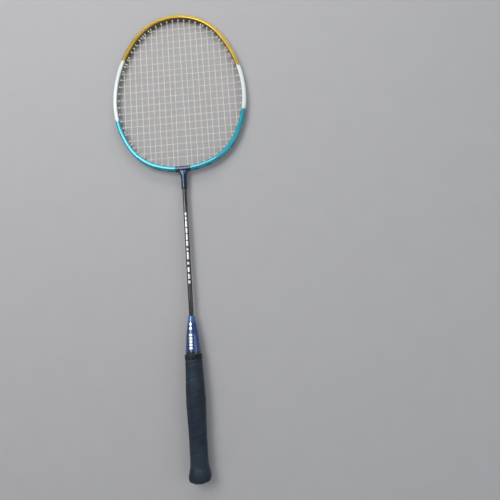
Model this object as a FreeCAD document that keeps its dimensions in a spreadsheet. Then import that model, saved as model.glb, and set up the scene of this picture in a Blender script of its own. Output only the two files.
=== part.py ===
import FreeCAD, Part

# Badminton racket, built as its separate pieces, in millimetres.
#
# The racket lies flat.  The string bed is the plane Z = 0, +Z is the hitting
# face that points up, and the long axis runs along Y: the middle of the butt's
# end face is the origin, the grip, cone and shaft follow along +Y, and the head
# is the far end.  X runs across the head.
#
# Every driving dimension is a cell of the sheet "Sizes".  A size is used
# through an expression of the cells' aliases, so one changed cell moves
# everything that fits to it.

import math
import os
import re

import Sketcher
from FreeCAD import Placement, Rotation, Vector

doc = FreeCAD.newDocument("badminton_racket")

# ---------------------------------------------------------------- sizes

SIZES = [
    # whole racket
    ("overall_length", 673.0, "butt face to the top of the head"),
    ("head_length", 250.0, "outside of the head frame, along Y"),
    ("head_width", 200.0, "outside of the head frame, along X"),
    # the head's outline, the tube's centre line: five tangent arcs a side
    ("upper_share", 0.55, "share of the head's length above its widest line"),
    ("top_roundness", 0.815, "radius over the top, in half widths of the head"),
    ("bottom_roundness", 1.175, "radius along the bottom, in half widths"),
    ("corner_roundness", 0.80, "radius between bottom and side, in half widths"),
    ("lower_side_roundness", 1.42, "radius of the side below the widest line, in half widths"),
    # the frame tube's section
    ("tube_width", 6.6, "across the tube, in the plane of the head"),
    ("tube_depth", 9.6, "through the tube, along Z"),
    ("tube_corner", 2.5, "rounding of the tube's corners"),
    ("tube_wall", 1.0, "wall of the tube"),
    ("groove_width", 3.4, "string groove round the outside of the frame"),
    ("groove_depth", 1.35, "how deep that groove is pressed"),
    # stringing
    ("string_diameter", 0.70, "both strings"),
    ("string_lift", 0.08, "gap between a string in the groove and the flange under it"),
    ("string_layer", 0.38, "height of the mains above Z = 0, and the crosses below"),
    ("main_pitch", 9.3, "distance between two mains"),
    ("cross_pitch", 11.4, "distance between two crosses"),
    ("cross_middle", 125.0, "top of the head to the middle of the crosses"),
    ("hole_pitch_least", 4.4, "closest that two string holes come along the tube"),
    ("string_bend", 0.9, "radius of the string's bends at a grommet"),
    ("main_tie_distance", 13.5, "outermost main's top hole to its tie hole, along the tube"),
    ("cross_tie_distance", 13.0, "first and last cross to their tie holes, along the tube"),
    # grommets
    ("barrel_diameter", 2.3, "outside of a grommet's barrel"),
    ("barrel_bore", 1.7, "bore of a grommet"),
    ("barrel_proud", 2.2, "how far a barrel stands out inside the head"),
    ("flange_diameter", 3.1, "flange of a grommet, in the groove"),
    ("flange_thickness", 0.4, "thickness of that flange"),
    ("flange_seat", 0.06, "gap between that flange and the groove's floor"),
    ("grommet_clearance", 0.05, "gap between a barrel and its hole"),
    # knots
    ("knot_diameter", 1.9, "tied knot where a string ends"),
    ("knot_length", 2.4, "length of that knot"),
    ("knot_gap", 0.3, "knot to the mouth of its grommet"),
    ("string_tail", 0.9, "tail of string beyond its knot"),
    # T-joint
    ("joint_width", 22.0, "the joint between the two tube ends"),
    ("joint_oversize", 0.6, "how much larger than the tube the joint's arms are"),
    ("spigot_length", 9.4, "length of each stub inside the tube"),
    ("spigot_clearance", 0.06, "gap between a stub and the tube's cavity"),
    ("joint_hole_spread", 7.2, "the joint's string holes, from the middle"),
    ("leg_wall", 1.0, "wall of the joint's leg, round the shaft"),
    ("leg_length", 25.8, "outer bottom of the head to the end of the leg"),
    ("flare_width", 16.4, "flare of the leg where it runs into the arms"),
    ("flare_waist", 10.4, "width of that flare half way along"),
    ("flare_depth", 8.2, "thickness of that flare, along Z"),
    ("flare_length", 9.5, "length of that flare below the arms"),
    ("shaft_engagement", 22.0, "how far the shaft enters the joint"),
    ("joint_clearance", 0.05, "gap between the shaft and a bore that it enters"),
    ("ring_length", 1.6, "dark ring at the end of the leg"),
    ("ring_wall", 0.65, "wall of that ring, round the shaft"),
    # shaft
    ("shaft_diameter", 6.5, "outside of the shaft"),
    ("shaft_bore", 4.2, "bore of the shaft"),
    ("shaft_start", 70.0, "Y of the shaft's lower end, inside the handle"),
    ("plug_length", 9.0, "plug in the shaft's lower end"),
    # cone
    ("cone_bottom", 163.4, "Y of the cone's wide end"),
    ("cone_length", 51.0, "length of the cone"),
    ("cone_overhang", 1.15, "how far the wide end stands out past the wood's top flats"),
    ("cone_belly", 17.0, "outside half way up, a little fuller than a straight cone"),
    ("cone_neck_wall", 1.2, "wall of the narrow end, round the shaft"),
    ("cone_wall", 1.5, "wall of the cone"),
    ("cone_neck", 12.0, "how far the narrow end hugs the shaft"),
    ("cone_lip", 2.4, "straight band at the wide end"),
    # handle core: octagonal, across its flats
    ("core_butt_flats", 20.4, "handle core inside the butt cap"),
    ("core_waist_flats", 20.1, "handle core at its waist"),
    ("core_palm_flats", 22.8, "handle core at its swell"),
    ("core_upper_flats", 21.1, "handle core above the swell"),
    ("core_top_flats", 18.9, "handle core at its top"),
    ("waist_place", 56.0, "Y of the waist"),
    ("palm_place", 101.0, "Y of the swell"),
    ("upper_place", 129.0, "Y of the section above the swell"),
    ("core_top", 162.9, "Y of the core's shoulder under the cone"),
    ("core_nose_length", 26.0, "turned nose of the core inside the cone"),
    ("core_nose_clearance", 0.1, "gap between that nose and the cone"),
    # butt cap
    ("cap_floor", 3.2, "thickness of the butt cap's end"),
    ("cap_skirt", 18.0, "Y of the butt cap's upper rim"),
    ("cap_rim_flats", 21.8, "cap across its flats at that rim"),
    ("cap_flare_flats", 26.2, "cap across its flats at its widest"),
    ("cap_flare_place", 7.8, "Y of the widest section"),
    ("cap_shoulder_flats", 25.6, "cap across its flats where it starts to round off"),
    ("cap_shoulder_place", 4.6, "Y of that section"),
    ("cap_edge_flats", 23.6, "cap across its flats where the wrap starts"),
    ("cap_edge_place", 2.4, "Y of that section"),
    ("cap_end_flats", 17.4, "cap across its flats at the end face"),
    ("cap_clearance", 0.05, "gap between the core and the cap"),
    ("badge_diameter", 13.4, "plain disc let into the end of the cap"),
    ("badge_thickness", 0.7, "thickness of that disc"),
    ("nail_spread", 8.0, "distance between the two nails of the cap"),
    ("nail_head", 2.6, "head of a nail"),
    ("nail_shank", 1.2, "shank of a nail"),
    ("nail_length", 14.0, "length of a nail"),
    # grip wrap and its tape
    ("wrap_thickness", 1.6, "thickness of the wrap"),
    ("wrap_clearance", 0.04, "gap under the wrap"),
    ("wrap_gap", 0.4, "gap between the wrap and the cone"),
    ("tape_width", 7.2, "finishing tape at the top of the wrap"),
    ("tape_thickness", 0.3, "thickness of that tape"),
]

MAIN_COUNT = 20
CROSS_COUNT = 20

sheet = doc.addObject("Spreadsheet::Sheet", "Sizes")
for row, (alias, size, meaning) in enumerate(SIZES, start=1):
    sheet.set("A%d" % row, alias)
    sheet.set("B%d" % row, str(size))
    sheet.setAlias("B%d" % row, alias)
    sheet.set("C%d" % row, meaning)
doc.recompute()

ALIASES = {alias for alias, size, meaning in SIZES}


def value(expression):
    """The number that an expression of the sheet's aliases has now."""
    return float(sheet.evalExpression(expression))


def bound(expression):
    """The same expression, written as another object has to write it."""
    return re.sub(r"[a-z_]+", lambda word: "Sizes." + word.group() if word.group() in ALIASES
                  else word.group(), expression)


# ---------------------------------------------------------------- helpers

SUBPARTS = {}


def new_body(label):
    """A PartDesign body that becomes one node."""
    body = doc.addObject("PartDesign::Body", label)
    body.Label = label
    SUBPARTS[label] = body
    return body


def origin_plane(body, role):
    return next(plane for plane in body.Origin.OriginFeatures if plane.Role == role)


def new_sketch(body, name, role="XY_Plane", height=None):
    """A sketch on one of the body's own planes, raised by an expression if one is given.

    XZ_Plane looks along -Y, so a height there is the sketch's Y.
    """
    sketch = body.newObject("Sketcher::SketchObject", name)
    sketch.AttachmentSupport = [(origin_plane(body, role), "")]
    sketch.MapMode = "FlatFace"
    if height is not None:
        sign = "-" if role == "XZ_Plane" else ""
        sketch.setExpression("AttachmentOffset.Base.z", "%s(%s)" % (sign, bound(height)))
    return sketch


def constrain(sketch, kind, *where, size=None):
    """Add one constraint; a size is an expression that the constraint stays bound to."""
    if size is None:
        return sketch.addConstraint(Sketcher.Constraint(kind, *where))
    index = sketch.addConstraint(Sketcher.Constraint(kind, *where, value(size)))
    sketch.setExpression("Constraints[%d]" % index, bound(size))
    return index


def draw_polygon(sketch, corners):
    """Straight outline through corners given as pairs of expressions, none negative."""
    points = [Vector(value(x), value(y), 0) for x, y in corners]
    for start, end in zip(points, points[1:] + points[:1]):
        sketch.addGeometry(Part.LineSegment(start, end))
    count = len(points)
    for index in range(count):
        constrain(sketch, "Coincident", index, 2, (index + 1) % count, 1)
        for axis, kind, size in ((-2, "DistanceX", corners[index][0]), (-1, "DistanceY", corners[index][1])):
            if value(size) == 0:
                constrain(sketch, "PointOnObject", index, 1, axis)
            else:
                constrain(sketch, kind, -1, 1, index, 1, size=size)


def draw_circle(sketch, diameter):
    sketch.addGeometry(Part.Circle(Vector(), Vector(0, 0, 1), value(diameter) / 2))
    ring = sketch.GeometryCount - 1
    constrain(sketch, "Coincident", ring, 3, -1, 1)
    constrain(sketch, "Diameter", ring, size=diameter)


def draw_pair(sketch, spread, diameter):
    """Two equal circles either side of the origin, on the sketch's horizontal."""
    for side in (1, -1):
        centre = Vector(side * value(spread) / 2, 0, 0)
        sketch.addGeometry(Part.Circle(centre, Vector(0, 0, 1), value(diameter) / 2))
        ring = sketch.GeometryCount - 1
        constrain(sketch, "PointOnObject", ring, 3, -1)
        constrain(sketch, "Diameter", ring, size=diameter)
        ends = (-1, 1, ring, 3) if side == 1 else (ring, 3, -1, 1)
        constrain(sketch, "DistanceX", *ends, size="(%s) / 2" % spread)


def draw_rounded_box(sketch, centre, width, height, rounding):
    """Rounded rectangle about (centre, 0): four sides and four corner arcs."""
    middle, half_width, half_height, radius = (value(centre), value(width) / 2,
                                               value(height) / 2, value(rounding))
    for turn in range(4):
        side_x, side_y = ((1, 1), (-1, 1), (-1, -1), (1, -1))[turn]
        centre_point = Vector(middle + side_x * (half_width - radius), side_y * (half_height - radius), 0)
        circle = Part.Circle(centre_point, Vector(0, 0, 1), radius)
        sketch.addGeometry(Part.ArcOfCircle(circle, turn * math.pi / 2, (turn + 1) * math.pi / 2))
    for turn in range(4):
        start = sketch.getPoint(turn, 2)
        end = sketch.getPoint((turn + 1) % 4, 1)
        sketch.addGeometry(Part.LineSegment(start, end))
    for turn in range(4):
        constrain(sketch, "Tangent", turn, 2, turn + 4, 1)
        constrain(sketch, "Tangent", turn + 4, 2, (turn + 1) % 4, 1)
        constrain(sketch, ("Horizontal", "Vertical")[turn % 2], turn + 4)
        constrain(sketch, "Radius", turn, size=rounding)
    constrain(sketch, "DistanceX", 5, 1, 7, 1, size=width)
    constrain(sketch, "DistanceY", 6, 1, 4, 1, size=height)
    constrain(sketch, "DistanceX", -1, 1, 7, 1, size="(%s) + (%s) / 2" % (centre, width))
    constrain(sketch, "DistanceY", -1, 1, 4, 1, size="(%s) / 2" % height)


def draw_octagon(sketch, flats):
    """Regular octagon about the origin, flat side up, by its size across the flats."""
    radius = value(flats) / 2 / math.cos(math.pi / 8)
    corners = [Vector(radius * math.cos((2 * turn + 1) * math.pi / 8),
                      radius * math.sin((2 * turn + 1) * math.pi / 8), 0) for turn in range(8)]
    for start, end in zip(corners, corners[1:] + corners[:1]):
        sketch.addGeometry(Part.LineSegment(start, end))
    sketch.addGeometry(Part.Circle(Vector(), Vector(0, 0, 1), radius), True)
    constrain(sketch, "Coincident", 8, 3, -1, 1)
    constrain(sketch, "Diameter", 8, size="(%s) / cos(22.5)" % flats)
    for turn in range(8):
        constrain(sketch, "Coincident", turn, 2, (turn + 1) % 8, 1)
        constrain(sketch, "PointOnObject", turn, 1, 8)
        if turn:
            constrain(sketch, "Equal", 0, turn)
    constrain(sketch, "Horizontal", 1)


def pad(body, sketch, length, reverse=False, both=False):
    feature = body.newObject("PartDesign::Pad", sketch.Name + "_pad")
    feature.Profile = sketch
    feature.setExpression("Length", bound(length))
    feature.Reversed = reverse
    feature.Midplane = both
    return feature


def pocket(body, sketch, length, reverse=False, both=False):
    feature = body.newObject("PartDesign::Pocket", sketch.Name + "_pocket")
    feature.Profile = sketch
    feature.setExpression("Length", bound(length))
    feature.Reversed = reverse
    feature.Midplane = both
    return feature


def lathe(label, corners):
    """A body turned about the long axis from an outline of (radius, Y) expressions."""
    body = new_body(label)
    sketch = new_sketch(body, label + "_outline")
    draw_polygon(sketch, corners)
    turned = body.newObject("PartDesign::Revolution", label + "_turned")
    turned.Profile = sketch
    turned.ReferenceAxis = (sketch, ["V_Axis"])
    turned.Angle = 360
    return body


def loft(body, kind, name, stations, draw):
    """Loft through sections standing across the long axis at the given Y expressions."""
    sketches = []
    for number, (place, size) in enumerate(stations):
        sketch = new_sketch(body, "%s_%d" % (name, number), "XZ_Plane", place)
        draw(sketch, size)
        sketches.append(sketch)
    feature = body.newObject("PartDesign::" + kind, name)
    feature.Profile = sketches[0]
    feature.Sections = sketches[1:]
    feature.Ruled = True
    return feature


# ---------------------------------------------------------------- the head's outline

BOTTOM_LINE = "overall_length - head_length + tube_width / 2"
BOTTOM_RADIUS = "bottom_roundness * (head_width - tube_width) / 2"


def upper_arcs(reach, half_width, end_radius):
    """Top and side arc of the upper half: the side's radius follows from tangency."""
    side_radius = ((half_width ** 2 + (reach - end_radius) ** 2 - end_radius ** 2)
                   / (2 * (half_width - end_radius)))
    end = Vector(0, reach - end_radius, 0)
    side = Vector(half_width - side_radius, 0, 0)
    turn = math.atan2(end.y - side.y, end.x - side.x)
    return [(end, end_radius, math.pi / 2, turn), (side, side_radius, turn, 0.0)]


def lower_arcs(reach, half_width, end_radius, corner_radius, side_radius):
    """Side, corner and bottom arc of the lower half, in order.

    The corner's centre is where circles about the other two centres, as far
    off as tangency asks, cross.
    """
    end = Vector(0, end_radius - reach, 0)
    side = Vector(half_width - side_radius, 0, 0)
    apart = end.distanceToPoint(side)
    along = ((side_radius - corner_radius) ** 2 - (end_radius - corner_radius) ** 2
             + apart ** 2) / (2 * apart)
    off = math.sqrt((side_radius - corner_radius) ** 2 - along ** 2)
    line = (end - side) / apart
    corner = side + line * along + Vector(line.y, -line.x, 0) * off
    side_turn = math.atan2(corner.y - side.y, corner.x - side.x)
    end_turn = math.atan2(corner.y - end.y, corner.x - end.x)
    return [(side, side_radius, 0.0, side_turn), (corner, corner_radius, side_turn, end_turn),
            (end, end_radius, end_turn, -math.pi / 2)]


def right_half_arcs():
    """Arcs (centre, radius, start, end) of the centre line at X > 0, from the top down."""
    half_width = value("(head_width - tube_width) / 2")
    reach = value("head_length - tube_width")
    upper_reach = reach * value("upper_share")
    middle = Vector(0, value(BOTTOM_LINE) + reach - upper_reach, 0)
    arcs = upper_arcs(upper_reach, half_width, half_width * value("top_roundness"))
    arcs += lower_arcs(reach - upper_reach, half_width, value(BOTTOM_RADIUS),
                       half_width * value("corner_roundness"),
                       half_width * value("lower_side_roundness"))
    return [(centre + middle, radius, start, end) for centre, radius, start, end in arcs]


HEAD_ARCS = right_half_arcs()
WIDEST_LINE = HEAD_ARCS[1][0].y


def point_on_head(distance, offset=0.0):
    """Point of the right half at a distance from the top along the centre line.

    Returns the point, moved outwards by the offset, and the outward direction.
    """
    for centre, radius, start, end in HEAD_ARCS:
        length = radius * (start - end)
        if distance <= length or centre == HEAD_ARCS[-1][0]:
            turn = start - distance / radius
            outward = Vector(math.cos(turn), math.sin(turn), 0)
            return centre + outward * (radius + offset), outward
        distance -= length


HALF_LENGTH = sum(radius * (start - end) for centre, radius, start, end in HEAD_ARCS)
JOINT_HALF_ANGLE = math.asin(value("joint_width / 2") / value(BOTTOM_RADIUS))


def rounded_box_face(offset, width, depth, corner):
    """Section face in X (outwards) and Z, its middle at (offset, 0)."""
    half_width, half_depth = width / 2 - corner, depth / 2 - corner
    edges = []
    for turn in range(4):
        side_x, side_z = ((1, 1), (-1, 1), (-1, -1), (1, -1))[turn]
        middle = Vector(offset + side_x * half_width, 0, side_z * half_depth)
        ends = [middle + Vector(math.cos(angle), 0, math.sin(angle)) * corner
                for angle in (turn * math.pi / 2, turn * math.pi / 2 + math.pi / 4,
                              (turn + 1) * math.pi / 2)]
        if edges:
            edges.append(Part.LineSegment(edges[-1].EndPoint, ends[0]))
        edges.append(Part.Arc(*ends))
    edges.append(Part.LineSegment(edges[-1].EndPoint, edges[0].StartPoint))
    return Part.Face(Part.Wire([edge.toShape() for edge in edges]))


def swept_round_head(face, arcs):
    """A section face carried along arcs of the head's centre line, as one solid."""
    lengths = []
    for centre, radius, start, end in arcs:
        piece = face.copy()
        piece.rotate(Vector(), Vector(0, 0, 1), math.degrees(end))
        piece.translate(centre + Vector(math.cos(end), math.sin(end), 0) * radius)
        lengths.append(piece.revolve(centre, Vector(0, 0, 1), math.degrees(start - end)))
    return lengths[0].multiFuse(lengths[1:]).removeSplitter()


def part_feature(label, shape):
    """A Part::Feature that becomes one node."""
    feature = doc.addObject("Part::Feature", label)
    feature.Label = label
    feature.Shape = shape
    SUBPARTS[label] = feature
    return feature


# ---------------------------------------------------------------- string holes

def spread_out(distances, least, lowest, highest):
    """Move sorted hole places apart until none is nearer to the next than the least pitch."""
    places = sorted(distances)
    for _ in range(400):
        for index in range(len(places) - 1):
            lack = least - (places[index + 1] - places[index])
            if lack > 1e-9:
                places[index] -= lack / 2
                places[index + 1] += lack / 2
        places = [min(max(place, lowest), highest) for place in places]
    return places


def distance_where(reached, lowest, highest):
    """Distance along the right half at which a test on the point there first fails."""
    for _ in range(60):
        middle = (lowest + highest) / 2
        if reached(point_on_head(middle)[0]):
            lowest = middle
        else:
            highest = middle
    return (lowest + highest) / 2


# string ends are tied in holes of their own: side, hole they follow, distance on from it
OUTER_MAIN, LAST_CROSS = ("top", MAIN_COUNT // 2 - 1), ("cross", CROSS_COUNT - 1)
TIES = {"main_left": (-1, OUTER_MAIN, "-main_tie_distance"),
        "main_right": (1, OUTER_MAIN, "-main_tie_distance"),
        "cross_upper": (-1, ("cross", 0), "cross_tie_distance"),
        "cross_lower": (-1, LAST_CROSS, "-cross_tie_distance")}


def side_holes():
    """Places of the string holes along one side of the tube, as {(group, number): distance}."""
    widest = distance_where(lambda point: point.y > WIDEST_LINE, 0, HALF_LENGTH)
    joint_start = HALF_LENGTH - value(BOTTOM_RADIUS) * JOINT_HALF_ANGLE
    places = {}
    for number in range(MAIN_COUNT // 2):
        across = value("main_pitch") * (number + 0.5)
        places["top", number] = distance_where(lambda point: point.x < across, 0, widest)
        if number:
            places["bottom", number] = distance_where(lambda point: point.x > across,
                                                      widest, HALF_LENGTH)
    for number in range(CROSS_COUNT):
        along = (value("overall_length - cross_middle")
                 + value("cross_pitch") * ((CROSS_COUNT - 1) / 2 - number))
        places["cross", number] = distance_where(lambda point: point.y > along, 0, HALF_LENGTH)
    for side, hole, further in TIES.values():
        places["tie", hole] = places[hole] + value(further)
    names = sorted(places, key=places.get)
    least = value("hole_pitch_least")
    spread = spread_out([places[name] for name in names], least, least / 2, joint_start - least / 2)
    return dict(zip(names, spread))


SIDE_HOLES = side_holes()


def mirrored(vector, side):
    return Vector(side * vector.x, vector.y, vector.z)


def hole_frame(group, number, side):
    """Middle and outward direction of a string hole; side is 1 at +X and -1 at -X.

    The two middle mains pass straight down through the T-joint.
    """
    if (group, number) == ("bottom", 0):
        spread = value("joint_hole_spread")
        radius = value(BOTTOM_RADIUS)
        height = value(BOTTOM_LINE) + radius - math.sqrt(radius ** 2 - spread ** 2)
        return Vector(side * spread, height, 0), Vector(0, -1, 0)
    point, outward = point_on_head(SIDE_HOLES[group, number])
    return mirrored(point, side), mirrored(outward, side)


def tie_frame(tie):
    side, hole, further = TIES[tie]
    return hole_frame("tie", hole, side)


GROOVE_FLOOR = "tube_width / 2 - groove_depth"
GROOVE_STRING = GROOVE_FLOOR + " + flange_seat + flange_thickness + string_diameter / 2 + string_lift"
HOLE_GROUPS = {
    "grommets_top": [("top", number, side) for number in range(MAIN_COUNT // 2) for side in (1, -1)],
    "grommets_bottom": [("bottom", number, side) for number in range(1, MAIN_COUNT // 2)
                        for side in (1, -1)],
    "grommets_right": [("cross", number, 1) for number in range(CROSS_COUNT)],
    "grommets_left": [("cross", number, -1) for number in range(CROSS_COUNT)],
}


def upright_to(point, outward, shape):
    """Place a shape made along +Z so that its +Z points outwards at a hole."""
    placed = shape.copy()
    placed.Placement = Placement(point, Rotation(Vector(0, 0, 1), outward))
    return placed


# ---------------------------------------------------------------- head frame

CAVITY_WIDTH = "tube_width - 2 * tube_wall - groove_depth"
CAVITY_DEPTH = "tube_depth - 2 * tube_wall"
CAVITY_CORNER = "(tube_width - 2 * tube_wall - groove_depth) * 0.35"


def head_frame():
    """Bent aluminium tube with a string groove, drilled for every grommet."""
    outside = rounded_box_face(0, value("tube_width"), value("tube_depth"), value("tube_corner"))
    groove = rounded_box_face(value("tube_width / 2"), value("groove_depth * 2"),
                              value("groove_width"), value("groove_depth / 4"))
    cavity = rounded_box_face(-value("groove_depth / 2"), value(CAVITY_WIDTH), value(CAVITY_DEPTH),
                              value(CAVITY_CORNER))
    section = outside.cut([groove, cavity]).Faces[0]
    arcs = list(HEAD_ARCS)
    centre, radius, start, end = arcs[-1]
    arcs[-1] = (centre, radius, start, end + JOINT_HALF_ANGLE)
    half = swept_round_head(section, arcs)
    tube = half.fuse(half.mirror(Vector(), Vector(1, 0, 0))).removeSplitter()
    drill = Part.makeCylinder(value("barrel_diameter / 2 + grommet_clearance"),
                              value("2 * tube_width"), Vector(0, 0, -value("tube_width")))
    frames = [hole_frame(*hole) for holes in HOLE_GROUPS.values() for hole in holes]
    frames += [tie_frame(tie) for tie in TIES]
    tube = tube.cut([upright_to(point, outward, drill) for point, outward in frames])
    part_feature("head_frame", tube.Solids[0] if len(tube.Solids) == 1 else tube)


# ---------------------------------------------------------------- grommets

def grommet(standing_out):
    """One nylon grommet along +Z: barrel, flange and bore, its origin on the tube's centre line."""
    floor = value(GROOVE_FLOOR + " + flange_seat")
    bottom = -value("tube_width / 2 + barrel_proud") - standing_out
    barrel = Part.makeCylinder(value("barrel_diameter / 2"), floor - bottom, Vector(0, 0, bottom))
    flange = Part.makeCylinder(value("flange_diameter / 2"), value("flange_thickness"),
                               Vector(0, 0, floor))
    bore = Part.makeCylinder(value("barrel_bore / 2"), floor - bottom + 2, Vector(0, 0, bottom - 1))
    return barrel.fuse(flange).cut(bore).removeSplitter()


def grommets():
    plain = grommet(0)
    for label, holes in HOLE_GROUPS.items():
        part_feature(label, Part.makeCompound(
            [upright_to(*hole_frame(*hole), plain) for hole in holes]))
    longer = grommet(value("joint_oversize / 2"))
    part_feature("grommets_throat", Part.makeCompound(
        [upright_to(*hole_frame("bottom", 0, side), longer) for side in (1, -1)]))
    part_feature("grommets_tie_off", Part.makeCompound(
        [upright_to(*tie_frame(tie), plain) for tie in TIES]))


# ---------------------------------------------------------------- strings

def groove_route(start, end, side):
    """Points in the string groove from one distance along the tube to another."""
    lift = value(GROOVE_STRING)
    steps = max(1, round(abs(end - start) / 6.5))
    return [mirrored(point_on_head(start + (end - start) * step / steps, lift)[0], side)
            for step in range(steps + 1)]


def distance_of(group, number):
    """Distance along the tube at which a string in the groove lies over a hole."""
    if (group, number) == ("bottom", 0):
        radius = value(BOTTOM_RADIUS)
        return HALF_LENGTH - radius * math.asin(
            value("joint_hole_spread") / (radius + value(GROOVE_STRING)))
    return SIDE_HOLES[group, number]


def run_end(group, number, side):
    """Where the string's straight run turns into a grommet, just inside its mouth."""
    point, outward = hole_frame(group, number, side)
    extra = "joint_oversize / 2 + " if (group, number) == ("bottom", 0) else ""
    return point - outward * value(extra + "tube_width / 2 + barrel_proud + string_bend * 1.4")


def tail(tie):
    """Where the string ends, inside the head beyond its knot."""
    point, outward = tie_frame(tie)
    return point - outward * value("tube_width / 2 + barrel_proud + knot_gap + knot_length"
                                   " + string_tail")


def tie_route(tie):
    """From the string's end through its tie hole and along the groove to its first hole."""
    side, hole, further = TIES[tie]
    return [tail(tie)] + groove_route(SIDE_HOLES["tie", hole], distance_of(*hole), side)


def main_route():
    """Mains from left to right: down, a loop under the head, up, a loop over it."""
    half = MAIN_COUNT // 2
    mains = [(-1, number) for number in reversed(range(half))] + [(1, number) for number in range(half)]
    route = tie_route("main_left")
    for index, (side, number) in enumerate(mains):
        start, end = ("bottom", "top") if index % 2 else ("top", "bottom")
        route += [run_end(start, number, side), run_end(end, number, side)]
        if index == MAIN_COUNT - 1:
            break
        next_side, next_number = mains[index + 1]
        if side == next_side:
            route += groove_route(distance_of(end, number), distance_of(end, next_number), side)
        else:
            lift = groove_route(distance_of(end, number), distance_of(end, number), side)[0]
            route += [lift, mirrored(lift, -1)]
    route += reversed(tie_route("main_right"))
    return route


def cross_route():
    """Crosses from the top down, turning at the right and the left in turn."""
    route = tie_route("cross_upper")
    for number in range(CROSS_COUNT):
        side = 1 if number % 2 == 0 else -1
        route += [run_end("cross", number, -side), run_end("cross", number, side)]
        if number < CROSS_COUNT - 1:
            route += groove_route(distance_of("cross", number), distance_of("cross", number + 1), side)
    route += reversed(tie_route("cross_lower"))
    return route


def rounded_wire(points):
    """Straight runs joined by tangent arcs through a list of corner points."""
    edges = []
    here = points[0]
    for before, corner, after in zip(points, points[1:], points[2:]):
        arriving = (corner - before).normalize()
        leaving = (after - corner).normalize()
        turn = arriving.getAngle(leaving)
        room = 0.45 * min(before.distanceToPoint(corner), corner.distanceToPoint(after))
        wanted = value("string_bend") if turn > 1.0 else 2 * value("string_bend")
        if turn < 0.4:
            wanted = room / math.tan(turn / 2)
        reach = min(wanted * math.tan(turn / 2), room)
        start, end = corner - arriving * reach, corner + leaving * reach
        radius = reach / math.tan(turn / 2)
        towards = (leaving - arriving).normalize()
        centre = corner + towards * (radius / math.cos(turn / 2))
        edges.append(Part.LineSegment(here, start).toShape())
        edges.append(Part.Arc(start, centre - towards * radius, end).toShape())
        here = end
    edges.append(Part.LineSegment(here, points[-1]).toShape())
    return Part.Wire(edges)


def string_solid(route, height):
    """Round string along a route, checked against its section times its length."""
    wire = rounded_wire([Vector(point.x, point.y, height) for point in route])
    radius = value("string_diameter / 2")
    along = wire.Edges[0].tangentAt(wire.Edges[0].FirstParameter)
    ring = Part.Wire(Part.makeCircle(radius, wire.Edges[0].valueAt(wire.Edges[0].FirstParameter), along))
    solid = wire.makePipeShell([ring], True, False)
    expected = math.pi * radius ** 2 * wire.Length
    print("string: %.0f mm long, volume %.4f of section times length"
          % (wire.Length, solid.Volume / expected))
    return solid


def knot(tie, height):
    """Knot drawn tight on the string's end, against the mouth of its grommet."""
    length = value("knot_length")
    bulge, neck = value("knot_diameter / 2"), value("string_diameter / 2 + 0.02")
    corners = [Vector(neck, 0, 0), Vector(bulge * 0.75, 0, 0), Vector(bulge * 0.75, 0, length),
               Vector(neck, 0, length)]
    outline = [Part.LineSegment(corners[0], corners[1]),
               Part.Arc(corners[1], Vector(bulge, 0, length / 2), corners[2]),
               Part.LineSegment(corners[2], corners[3]), Part.LineSegment(corners[3], corners[0])]
    bead = Part.Face(Part.Wire([edge.toShape() for edge in outline])).revolve(
        Vector(), Vector(0, 0, 1), 360)
    point, outward = tie_frame(tie)
    place = point - outward * value("tube_width / 2 + barrel_proud + knot_gap") + Vector(0, 0, height)
    return upright_to(place, -outward, bead)


def strings():
    layer = value("string_layer")
    part_feature("main_string", string_solid(main_route(), layer))
    part_feature("cross_string", string_solid(cross_route(), -layer))
    for tie in TIES:
        part_feature(tie + "_knot", knot(tie, layer if tie.startswith("main") else -layer))


# ---------------------------------------------------------------- T-joint and its ring

LEG_END = "overall_length - head_length - leg_length"
LEG_DIAMETER = "(shaft_diameter + 2 * joint_clearance + 2 * leg_wall)"
SHAFT_TOP = "overall_length - head_length - leg_length + shaft_engagement"
HOLE_RISE = "%s - sqrt((%s)^2 - joint_hole_spread^2)" % (BOTTOM_RADIUS, BOTTOM_RADIUS)
FLARE_STATIONS = [(BOTTOM_LINE + " - tube_width / 2 - flare_length", (LEG_DIAMETER + " * 0.97",) * 2),
                  (BOTTOM_LINE + " - tube_width / 2 - flare_length / 2",
                   ("flare_waist", LEG_DIAMETER + " * 0.97")),
                  (BOTTOM_LINE + " - tube_width / 4", ("flare_width", "flare_depth"))]


def revolved_round_bottom(body, name, centre, width, depth, rounding, half_chord):
    """Section carried along the bottom arc of the head, to a half chord each side of the middle."""
    sketch = new_sketch(body, name, "YZ_Plane")
    draw_rounded_box(sketch, centre, width, depth, rounding)
    axis = value(BOTTOM_LINE + " + " + BOTTOM_RADIUS)
    sketch.addGeometry(Part.LineSegment(Vector(axis, 0, 0), Vector(axis, 10, 0)), True)
    line = sketch.GeometryCount - 1
    constrain(sketch, "PointOnObject", line, 1, -1)
    constrain(sketch, "Vertical", line)
    constrain(sketch, "DistanceX", -1, 1, line, 1, size=BOTTOM_LINE + " + " + BOTTOM_RADIUS)
    constrain(sketch, "DistanceY", line, 1, line, 2, size="tube_depth")
    turned = body.newObject("PartDesign::Revolution", name + "_turned")
    turned.Profile = sketch
    turned.ReferenceAxis = (sketch, ["Axis0"])
    turned.Midplane = True
    turned.setExpression("Angle", "2 * asin((%s) / (%s))" % (bound(half_chord), bound(BOTTOM_RADIUS)))
    return turned


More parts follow.
